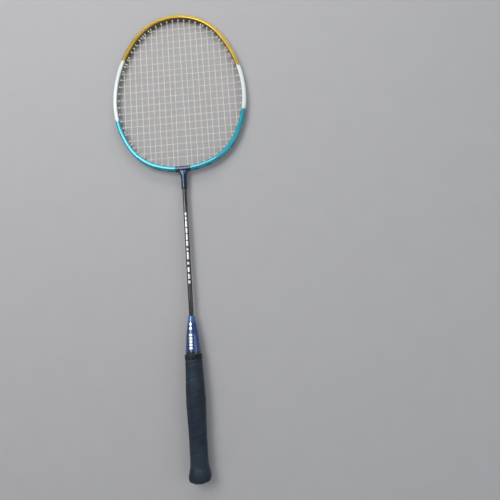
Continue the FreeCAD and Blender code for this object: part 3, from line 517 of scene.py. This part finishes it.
def groove_loop(leaving, entering):
    """Out of one grommet, along the groove and into the next."""
    ends = []
    for inner, outer in (leaving, entering):
        outward = (outer - inner).normalized()
        ends.append((outer - outward * BEND_DEPTH, outer + outward * GROOVE_LIFT))
    (first_bore, first), (last_bore, last) = ends
    bulge = (last - first).length_squared / (8 * GROOVE_RADIUS)
    middle = (first + last) / 2
    middle += (middle - head_middle).normalized() * bulge
    slide = (last - first).normalized() * BEND_LENGTH
    return [first_bore, first + slide, middle, last - slide, last_bore]


def tie_to(tie, hole):
    """From a tie hole's knot, out through it and along the groove into the string's own hole."""
    inward = (tie[0] - tie[1]).normalized()
    return [tie[0] + inward * TIE_REACH, tie[0]] + groove_loop(tie, hole)


def threaded(run, starts, ends):
    """All points of a string whose runs turn back at either side, from knot to knot."""
    points = tie_to(nearest(TIE_OFF, starts[0]), starts[0])
    for number in range(len(starts)):
        forward = number % 2 == 0
        points += run(number) if forward else run(number)[::-1]
        if number + 1 < len(starts):
            side = ends if forward else starts
            points += groove_loop(side[number], side[number + 1])
    return points + tie_to(nearest(TIE_OFF, starts[-1]), starts[-1])[::-1]


main_points = threaded(main_run, TOP, BOTTOM)
cross_points = threaded(cross_run, LEFT, RIGHT)
print("points along the mains %d, the crosses %d" % (len(main_points), len(cross_points)))

# %% [markdown]
# A Bezier curve with automatic handles swings softly through the points, and its round
# bevel makes the string.  The curve is turned into a mesh at once, so that it can be
# counted here.

# %% Strings

STRING_RADIUS = 0.35 * MM


def round_curve(name, radius, resolution):
    """An empty curve with a round bevel."""
    curve = bpy.data.curves.new(name, "CURVE")
    curve.dimensions = "3D"
    curve.bevel_depth = radius
    curve.bevel_resolution = 2
    curve.resolution_u = resolution
    curve.use_fill_caps = True
    return curve


def meshed(curve):
    """A curve made into a smooth mesh object of the same name."""
    holder = bpy.data.objects.new(curve.name + "_curve", curve)
    bpy.context.scene.collection.objects.link(holder)
    bpy.context.view_layer.update()
    evaluated = holder.evaluated_get(bpy.context.evaluated_depsgraph_get())
    mesh = bpy.data.meshes.new_from_object(evaluated)
    mesh.name = curve.name
    bpy.data.objects.remove(holder)
    piece = bpy.data.objects.new(curve.name, mesh)
    bpy.context.scene.collection.objects.link(piece)
    mesh.polygons.foreach_set("use_smooth", [True] * len(mesh.polygons))
    print("%s: %d faces" % (piece.name, len(mesh.polygons)))
    return piece


def string_object(name, points):
    """A smooth round string through points."""
    curve = round_curve(name, STRING_RADIUS, 4)
    spline = curve.splines.new("BEZIER")
    spline.bezier_points.add(len(points) - 1)
    for bezier, point in zip(spline.bezier_points, points):
        bezier.co = point
        bezier.handle_left_type = bezier.handle_right_type = "AUTO"
    return meshed(curve)


woven_mains = string_object("woven_mains", main_points)
woven_crosses = string_object("woven_crosses", cross_points)

# %% [markdown]
# Multifilament string is a bundle of fine fibres under a clear skin.  Its cream colour is
# uneven, and play leaves duller, browner lengths.  Two noises of different size, one in
# the colour and one as a mask for the dull lengths, give that.

# %% String finish


def string_finish():
    """Cream fibres under a clear skin, dull where the string is worn."""
    string = Finish("cream_string", Subsurface_Weight=0.25, Subsurface_Scale=0.4 * MM,
                    Coat_Weight=0.35, Coat_Roughness=0.2)
    clean = string.mix(string.noise(240.0), (0.80, 0.72, 0.60), (0.92, 0.88, 0.80))
    worn = string.math("MULTIPLY", string.step(string.noise(60.0, 5.0), 0.52, 0.70), 0.55)
    string.colour(string.mix(worn, clean, (0.52, 0.47, 0.41)))
    string.rough(string.noise(400.0), 0.30, 0.55)
    string.bumps((string.noise(2200.0, 2.0), 0.02 * MM))
    return string.material


cream_string = string_finish()
for piece, node_name in ((woven_mains, "main_string"), (woven_crosses, "cross_string")):
    piece.data.materials.append(cream_string)
    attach(piece, "root")
    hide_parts(node_name)
    print(piece.name, "wears", cream_string.name)

# %% [markdown]
# ## Knots
#
# A stringer ends each string with two half hitches round its own neighbour.  At this size
# a knot reads as a few crossed turns.  A trefoil is the simplest closed
# knot, and its formula draws three lobes that tuck under each other, which is what a
# tightened hitch looks like.

# %% Knots

KNOT_LOBE = 0.28 * MM
KNOT_GAP = 1.5 * MM
KNOT_POINTS = 18
KNOT_HEIGHT = 1.5
KNOT_THINNING = 0.92


def trefoil(step):
    """A point of the trefoil knot, one lobe wide about the origin."""
    a = 2 * math.pi * step / KNOT_POINTS
    return Vector((math.sin(a) + 2 * math.sin(2 * a), math.cos(a) - 2 * math.cos(2 * a),
                   -KNOT_HEIGHT * math.sin(3 * a)))


def knot_object(name, hole, node_name):
    """A tightened trefoil just inside the mouth of a tie hole."""
    inner, outer = hole
    inward = (inner - outer).normalized()
    facing = inward.to_track_quat("Z", "Y").to_matrix()
    middle = inner + inward * KNOT_GAP
    curve = round_curve(name, STRING_RADIUS * KNOT_THINNING, 3)
    spline = curve.splines.new("NURBS")
    spline.points.add(KNOT_POINTS - 1)
    for step, point in enumerate(spline.points):
        point.co = (*(middle + facing @ trefoil(step) * KNOT_LOBE), 1)
    spline.use_cyclic_u = True
    spline.order_u = 4
    knot = meshed(curve)
    knot.data.materials.append(cream_string)
    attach(knot, "root")
    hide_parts(node_name)


knot_object("tied_main_left", nearest(TIE_OFF, TOP[0]), "main_left_knot")
knot_object("tied_main_right", nearest(TIE_OFF, TOP[-1]), "main_right_knot")
knot_object("tied_cross_upper", nearest(TIE_OFF, LEFT[0]), "cross_upper_knot")
knot_object("tied_cross_lower", nearest(TIE_OFF, LEFT[-1]), "cross_lower_knot")

# %% [markdown]
# ## The T-joint
#
# The joint is an alloy casting.  A casting has no sharp inner corners: metal flows into
# fillets where the leg meets the arms.  The CAD piece gives the true size with plain
# corners.  Remeshing a merged copy into small voxels and relaxing it melts every corner
# into a fillet, much as a foundry's wax pattern is rubbed smooth.

# %% T-joint

VOXEL = 0.36 * MM
RELAX_ROUNDS = 7


def melted_copy(node_name, name):
    """A copy of a CAD node with every corner rounded as a casting's are."""
    merged = bmesh.new()
    merged.from_mesh(nodes[node_name].data)
    bmesh.ops.remove_doubles(merged, verts=merged.verts, dist=SAME_POINT)
    mesh = bpy.data.meshes.new(name)
    merged.to_mesh(mesh)
    merged.free()
    mesh.materials.clear()
    copy = bpy.data.objects.new(name, mesh)
    bpy.context.scene.collection.objects.link(copy)
    remesh = copy.modifiers.new("voxels", "REMESH")
    remesh.mode = "VOXEL"
    remesh.voxel_size = VOXEL
    relax = copy.modifiers.new("relax", "SMOOTH")
    relax.factor = 0.5
    relax.iterations = RELAX_ROUNDS
    bpy.context.view_layer.update()
    final = bpy.data.meshes.new_from_object(
        copy.evaluated_get(bpy.context.evaluated_depsgraph_get()))
    copy.modifiers.clear()
    copy.data = final
    final.name = name
    final.polygons.foreach_set("use_smooth", [True] * len(final.polygons))
    print("%s: %d faces" % (name, len(final.polygons)))
    return copy


def navy_enamel():
    """Dark blue enamel over cast metal, orange-peel skin and a hard gloss."""
    enamel = Finish("navy_enamel", Metallic=0.7, Coat_Weight=0.7, Coat_Roughness=0.03)
    flake = enamel.cells(2200.0, output="Color")
    enamel.colour(enamel.mix(flake, (0.004, 0.015, 0.042), (0.012, 0.048, 0.112)))
    enamel.rough(enamel.noise(300.0), 0.22, 0.34)
    enamel.bumps((enamel.noise(420.0, 2.0), 0.06 * MM))
    return enamel.material


cast_joint = melted_copy("t_joint", "cast_joint")
cast_joint.data.materials.append(navy_enamel())
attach(cast_joint, "root")
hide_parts("t_joint")
print(cast_joint.name, "wears", cast_joint.data.materials[0].name)

# %% [markdown]
# ## The shaft
#
# The shaft is a lacquered tube of wound fibre.  The winding shows as a slow spiral of
# lighter and darker bands under the gloss.  An angle round the tube plus a share of Y
# gives a spiral, and its sine gives soft bands.  A row of plain pale dashes runs along
# the upper side, where such a shaft carries its maker's print.

# %% Shaft finish

DASHES = [(259, 263), (265.5, 272), (275, 281.5), (285.5, 289), (293, 303), (305.5, 308),
          (312, 319), (320.6, 329), (330.5, 337.5), (339, 348), (349.6, 354), (356, 360)]
DASH_MIDDLE, DASH_HALF_WIDTH = 0.35 * MM, 1.25 * MM
WINDING_CLIMB = 58 * MM
WEAVE_PITCH, WEAVE_SLANT = 2.0 * MM, 1.4
LOWER_END, UPPER_START = 298 * MM, 328 * MM
PRINT_GREY = (0.80, 0.84, 0.84)


def shaft_finish():
    """Wound fibre, lighter and violet near the joint, under gloss and a row of dashes."""
    lacquer = Finish("wound_fibre", Metallic=0.25, Coat_Weight=0.6, Coat_Roughness=0.05)
    x, y, z = (lacquer.axis[name] for name in "XYZ")
    angle = lacquer.math("ARCTAN2", x, z)
    spiral = lacquer.math("ADD", lacquer.math("MULTIPLY", y, math.tau / WINDING_CLIMB), angle)
    band = lacquer.step(lacquer.math("SINE", spiral), -0.6, 0.9)
    along = lacquer.math("MULTIPLY", y, 1 / WEAVE_PITCH)
    around = lacquer.math("MULTIPLY", angle, WEAVE_SLANT)
    phase = lacquer.math("MULTIPLY", lacquer.math("ADD", along, around), math.tau)
    weave = lacquer.step(lacquer.math("SINE", phase), -1.0, 1.0)
    fibre = lacquer.mix(weave, (0.014, 0.014, 0.019), (0.030, 0.030, 0.038))
    upper = lacquer.mix(band, fibre, (0.056, 0.056, 0.072))
    lower = lacquer.mix(band, (0.008, 0.006, 0.006), (0.032, 0.025, 0.023))
    ground = lacquer.mix(lacquer.step(y, LOWER_END, UPPER_START), lower, upper)
    marks = None
    for low, high in DASHES:
        dash = lacquer.between(y, low * MM, high * MM)
        marks = dash if marks is None else lacquer.math("ADD", marks, dash)
    face = lacquer.between(x, DASH_MIDDLE - DASH_HALF_WIDTH, DASH_MIDDLE + DASH_HALF_WIDTH)
    marks = lacquer.math("MULTIPLY", lacquer.math("MULTIPLY", marks, face),
                         lacquer.math("GREATER_THAN", z, 0.0))
    lacquer.colour(lacquer.mix(marks, ground, PRINT_GREY))
    lacquer.rough(lacquer.noise(90.0), 0.20, 0.36)
    lacquer.bumps((lacquer.noise(160.0, 2.0), 0.02 * MM))
    return lacquer.material


wear("shaft", shaft_finish())

# %% [markdown]
# ## The cone
#
# The cone is moulded in glossy plastic with a metallic blue spray that is lighter at the
# tip.  Two round dots and a ladder of plain short bars decorate its upper face.  They are
# masks built from distances, so they stay sharp at any size.

# %% Cone finish

CONE_LOW, CONE_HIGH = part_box("cone")
BAR_PITCH, BAR_COUNT = 4.3 * MM, 5
BAR_START, BAR_END = 0.14, 0.86
BAR_EDGE_OUT, BAR_EDGE_IN = 2.55 * MM, 2.40 * MM
LADDER_LOW = CONE_LOW.y + 5.8 * MM
LADDER_HIGH = LADDER_LOW + BAR_COUNT * BAR_PITCH
DOTS = [CONE_HIGH.y - 11.4 * MM, CONE_HIGH.y - 16.8 * MM]
DOT_EDGE_OUT, DOT_EDGE_IN = 2.15 * MM, 2.0 * MM
MARKS_LEFT = 1.0 * MM
MARKS_WHITE = (0.82, 0.86, 0.88)


def cone_marks(spray):
    """Mask of the two dots and the ladder of bars on the upper face."""
    x, y, z = (spray.axis[name] for name in "XYZ")
    sideways = spray.math("ABSOLUTE", spray.math("ADD", x, MARKS_LEFT))
    climbed = spray.math("SUBTRACT", y, LADDER_LOW)
    rung = spray.math("FRACT", spray.math("DIVIDE", climbed, BAR_PITCH))
    marks = spray.math("MULTIPLY", spray.between(rung, BAR_START, BAR_END, 0.02),
                       spray.between(y, LADDER_LOW, LADDER_HIGH))
    marks = spray.math("MULTIPLY", marks, spray.step(sideways, BAR_EDGE_OUT, BAR_EDGE_IN))
    for place in DOTS:
        far = spray.distance(spray.math("SUBTRACT", y, place), sideways)
        marks = spray.math("ADD", marks, spray.step(far, DOT_EDGE_OUT, DOT_EDGE_IN))
    return spray.math("MULTIPLY", marks, spray.math("GREATER_THAN", z, 0.0))


def cone_finish():
    """Metallic blue spray, lighter at the tip, with painted shade darkening the foot, and the
    marks.
    """
    spray = Finish("blue_spray", Metallic=0.55, Coat_Weight=1.0, Coat_Roughness=0.05)
    y = spray.axis["Y"]
    flake = spray.cells(2400.0, output="Color")
    deep = spray.mix(flake, (0.008, 0.034, 0.130), (0.018, 0.085, 0.28))
    tip = spray.mix(flake, (0.025, 0.11, 0.32), (0.06, 0.20, 0.48))
    ground = spray.mix(spray.step(y, CONE_HIGH.y - 12 * MM, CONE_HIGH.y - 5 * MM), deep, tip)
    # Painted shade: the foot of the cone is darkened to a near-black blue.
    painted_foot_shade = spray.step(y, CONE_LOW.y + 4.5 * MM, CONE_LOW.y + 1.5 * MM)
    ground = spray.mix(painted_foot_shade, ground, (0.01, 0.02, 0.045))
    spray.colour(spray.mix(cone_marks(spray), ground, MARKS_WHITE))
    spray.rough(spray.noise(200.0), 0.2, 0.38)
    spray.bumps((spray.noise(300.0, 2.0), 0.04 * MM))
    return spray.material


wear("cone", cone_finish())

# %% [markdown]
# ## The grip
#
# The grip is a strip of cushioned synthetic leather wound up the handle from the butt.
# Each turn covers the top edge of the turn before, so every turn begins with a soft step.
# The strip takes the handle's shape, so the handle comes first: eight flats with rounded
# corners, which narrow and swell along it.  A high power of the cosine to each flat, summed
# and rooted, gives a polygon whose corners are round.

# %% Handle under the strip

# size across the flats under the strip in millimetres, by place along Y: cap, then wood
HANDLE_FLATS = [(2.4, 23.6), (4.6, 25.6), (7.8, 26.2), (18.0, 21.8), (20.0, 20.4), (56.0, 20.1),
                (101.0, 22.8), (129.0, 21.1), (162.9, 18.9)]
SWELL_PLACE = 101 * MM
FLAT_COUNT = 8
CORNER_SHARPNESS = 26


def flats_at(y):
    """Size of the wood across its flats at a place along the handle."""
    places, sizes = zip(*HANDLE_FLATS)
    return float(np.interp(y / MM, places, sizes)) * MM


def wood_radius(angle, y):
    """Distance from the long axis to the rounded eight-sided surface at an angle."""
    turns = [angle - side * math.tau / FLAT_COUNT for side in range(FLAT_COUNT)]
    reach = sum(max(0.0, math.cos(turn)) ** CORNER_SHARPNESS for turn in turns)
    return flats_at(y) / 2 / reach ** (1 / CORNER_SHARPNESS)


print("flats at the swell: %.1f mm" % (flats_at(SWELL_PLACE) / MM))

# %% [markdown]
# The strip's section is drawn once, as a thin closed outline.  Spinning it round the long
# axis while it climbs gives a screw.  Then every point is moved from the round screw onto
# the handle, and whatever runs past either end is pressed level with it.

# %% Grip strip

GRIP_LOW, GRIP_HIGH = WRAP_LOW.y, WRAP_HIGH.y
TURN_CLIMB = 19.0 * MM
TURN_STEPS = 120
SCREW_RADIUS = 12 * MM
# section of the strip in millimetres: how far across it, and how high over the wood
STRIP_OUTLINE = [(0.0, 1.18), (0.15, 1.38), (0.6, 1.53), (1.4, 1.58), (2.6, 1.54), (4.5, 1.46),
                 (8.0, 1.42), (12.0, 1.42), (16.5, 1.38), (18.4, 1.26), (19.4, 1.02), (20.6, 0.72),
                 (21.8, 0.34), (22.0, 0.16), (21.6, 0.07), (14.0, 0.06), (8.0, 0.06), (4.6, 0.08),
                 (3.2, 0.42), (1.8, 0.84), (0.7, 1.06)]
STRIP_WIDTH = 22 * MM


def wound_strip(name, outline, climb, start, turns, low, high, steps):
    """A strip of a given section wound up the handle and trimmed level at both ends."""
    strip = bmesh.new()
    section = [strip.verts.new((0, start + a * MM, SCREW_RADIUS + h * MM)) for a, h in outline]
    first = strip.faces.new(section)
    around = round(turns * steps)
    bmesh.ops.spin(strip, geom=[first], cent=(0, 0, 0), axis=(0, 1, 0), dvec=(0, climb / steps, 0),
                   angle=turns * 2 * math.pi, steps=around, use_merge=False, use_duplicate=False)
    for vert in strip.verts:
        angle = math.atan2(vert.co.x, vert.co.z)
        height = math.hypot(vert.co.x, vert.co.z) - SCREW_RADIUS
        y = min(max(vert.co.y, low), high)
        radius = wood_radius(angle, y) + height
        vert.co = (radius * math.sin(angle), y, radius * math.cos(angle))
    bmesh.ops.remove_doubles(strip, verts=strip.verts, dist=0.003 * MM)
    bmesh.ops.dissolve_degenerate(strip, edges=strip.edges, dist=SAME_POINT)
    bmesh.ops.recalc_face_normals(strip, faces=strip.faces)
    for face in strip.faces:
        face.smooth = True
    mesh = bpy.data.meshes.new(name)
    strip.to_mesh(mesh)
    strip.free()
    piece = bpy.data.objects.new(name, mesh)
    bpy.context.scene.collection.objects.link(piece)
    print("%s: %.1f turns, %d faces" % (name, turns, len(mesh.polygons)))
    return piece


grip_turns = (GRIP_HIGH - GRIP_LOW + STRIP_WIDTH + 2 * MM) / TURN_CLIMB
wound_grip = wound_strip("wound_grip", STRIP_OUTLINE, TURN_CLIMB, GRIP_LOW - STRIP_WIDTH,
                         grip_turns, GRIP_LOW, GRIP_HIGH, TURN_STEPS)

# %% [markdown]
# Synthetic leather has a fine pebble grain, and a matt, slightly waxy sheen.  Handling
# polishes it in places and leaves grey-blue lighter patches.  A wide noise gives both the
# patches and their lower roughness, and small cells give the pebbles, with painted shade
# darkening their pits.

# %% Grip finish


def grip_finish():
    """Dark blue synthetic leather with a pebble grain and polished patches."""
    leather = Finish("navy_grip", Sheen_Weight=0.06, Sheen_Roughness=0.4, Specular_IOR_Level=0.3)
    patches = leather.noise(38.0, 4.0, 0.6)
    polished = leather.step(patches, 0.35, 0.68)
    colour = leather.mix(polished, (0.009, 0.017, 0.031), (0.017, 0.036, 0.058))
    grain = leather.cells(1500.0)
    # Painted shade: the pits of the pebble grain are darkened.
    pit_shade = leather.step(grain, 0.05, 0.45)
    leather.colour(leather.mix(pit_shade, (0.006, 0.011, 0.019), colour))
    leather.rough(patches, 0.62, 0.42)
    leather.bumps((leather.noise(140.0, 3.0), 0.10 * MM), (grain, 0.07 * MM))
    return leather.material


wound_grip.data.materials.append(grip_finish())
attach(wound_grip, "root")
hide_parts("grip_wrap")
print(wound_grip.name, "wears", wound_grip.data.materials[0].name)

# %% [markdown]
# ## The closing tape
#
# A narrow band of vinyl tape holds down the strip's last turn.  It is wound a little more
# than once, so its end lies over its start.

# %% Closing tape

TAPE_LOW, TAPE_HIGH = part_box("finishing_tape")
TAPE_OUTLINE = [(0.0, 1.70), (0.06, 1.86), (0.3, 1.92), (6.0, 1.92), (6.25, 1.86), (6.3, 1.70)]
TAPE_CLIMB, TAPE_TURNS = 0.6 * MM, 1.15
TAPE_START = TAPE_LOW.y + 0.1 * MM
closing_tape = wound_strip("closing_tape", TAPE_OUTLINE, TAPE_CLIMB, TAPE_START, TAPE_TURNS,
                           TAPE_LOW.y, TAPE_HIGH.y, TURN_STEPS)


def tape_finish():
    """Black-green vinyl with creases across the band."""
    vinyl = Finish("vinyl_tape", Specular_IOR_Level=0.35)
    creases = vinyl.noise(300.0, 4.0, 0.6, vinyl.stretched(1.0, 2.2, 1.0))
    worn = vinyl.step(creases, 0.45, 0.70)
    vinyl.colour(vinyl.mix(worn, (0.006, 0.010, 0.013), (0.016, 0.026, 0.033)))
    vinyl.rough(creases, 0.40, 0.60)
    vinyl.bumps((creases, 0.10 * MM))
    return vinyl.material


closing_tape.data.materials.append(tape_finish())
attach(closing_tape, "root")
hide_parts("finishing_tape")
print(closing_tape.name, "wears", closing_tape.data.materials[0].name)

# %% [markdown]
# ## Small and hidden pieces
#
# The black ring at the leg, the butt cap with its badge and nails, the wooden core and the
# plug keep their CAD shapes.  Most of them hardly show, but each gets the finish of what it
# is made of, so the racket can be taken apart.

# %% Small finishes


def moulded_black(name, low, high):
    """Black plastic whose roughness lies between two limits."""
    plastic = Finish(name)
    plastic.colour(plastic.mix(plastic.noise(260.0), (0.012, 0.012, 0.014), (0.030, 0.030, 0.036)))
    plastic.rough(plastic.noise(500.0), low, high)
    plastic.bumps((plastic.cells(2000.0), 0.02 * MM))
    return plastic.material


def sanded_beech():
    """Pale wood whose grain and dark flecks run along the handle."""
    wood = Finish("sanded_beech", Roughness=0.6)
    grain = wood.noise(160.0, 6.0, 0.6, wood.stretched(1.0, 0.05, 1.0))
    fleck = wood.noise(900.0, 2.0, 0.5, wood.stretched(1.0, 0.12, 1.0))
    colour = wood.mix(grain, (0.50, 0.33, 0.18), (0.70, 0.52, 0.33))
    wood.colour(wood.mix(wood.step(fleck, 0.62, 0.70), colour, (0.36, 0.22, 0.12)))
    wood.bumps((grain, 0.05 * MM))
    return wood.material


def nail_steel():
    """Bright drawn steel."""
    steel = Finish("drawn_steel", Metallic=1.0)
    steel.colour(steel.mix(steel.noise(800.0), (0.50, 0.50, 0.51), (0.66, 0.66, 0.67)))
    steel.rough(steel.noise(1200.0), 0.25, 0.45)
    steel.bumps((steel.noise(1500.0), 0.01 * MM))
    return steel.material


def badge_blue():
    """Blue disc with one pale ring."""
    enamel = Finish("ringed_badge", Metallic=0.4, Coat_Weight=1.0, Coat_Roughness=0.05)
    far = enamel.distance(enamel.axis["X"], enamel.axis["Z"])
    ring = enamel.between(far, 5.2 * MM, 5.9 * MM)
    flake = enamel.cells(2400.0, output="Color")
    ground = enamel.mix(flake, (0.010, 0.04, 0.20), (0.025, 0.11, 0.42))
    enamel.colour(enamel.mix(ring, ground, (0.80, 0.84, 0.86)))
    enamel.rough(enamel.noise(400.0), 0.2, 0.35)
    return enamel.material


wear("leg_ring", moulded_black("gloss_black", 0.15, 0.30))
wear("butt_cap", moulded_black("moulded_black", 0.40, 0.60))
wear("shaft_plug", nylon_finish)
wear("handle_core", sanded_beech())
wear("butt_cap_nails", nail_steel())
wear("butt_badge", badge_blue())
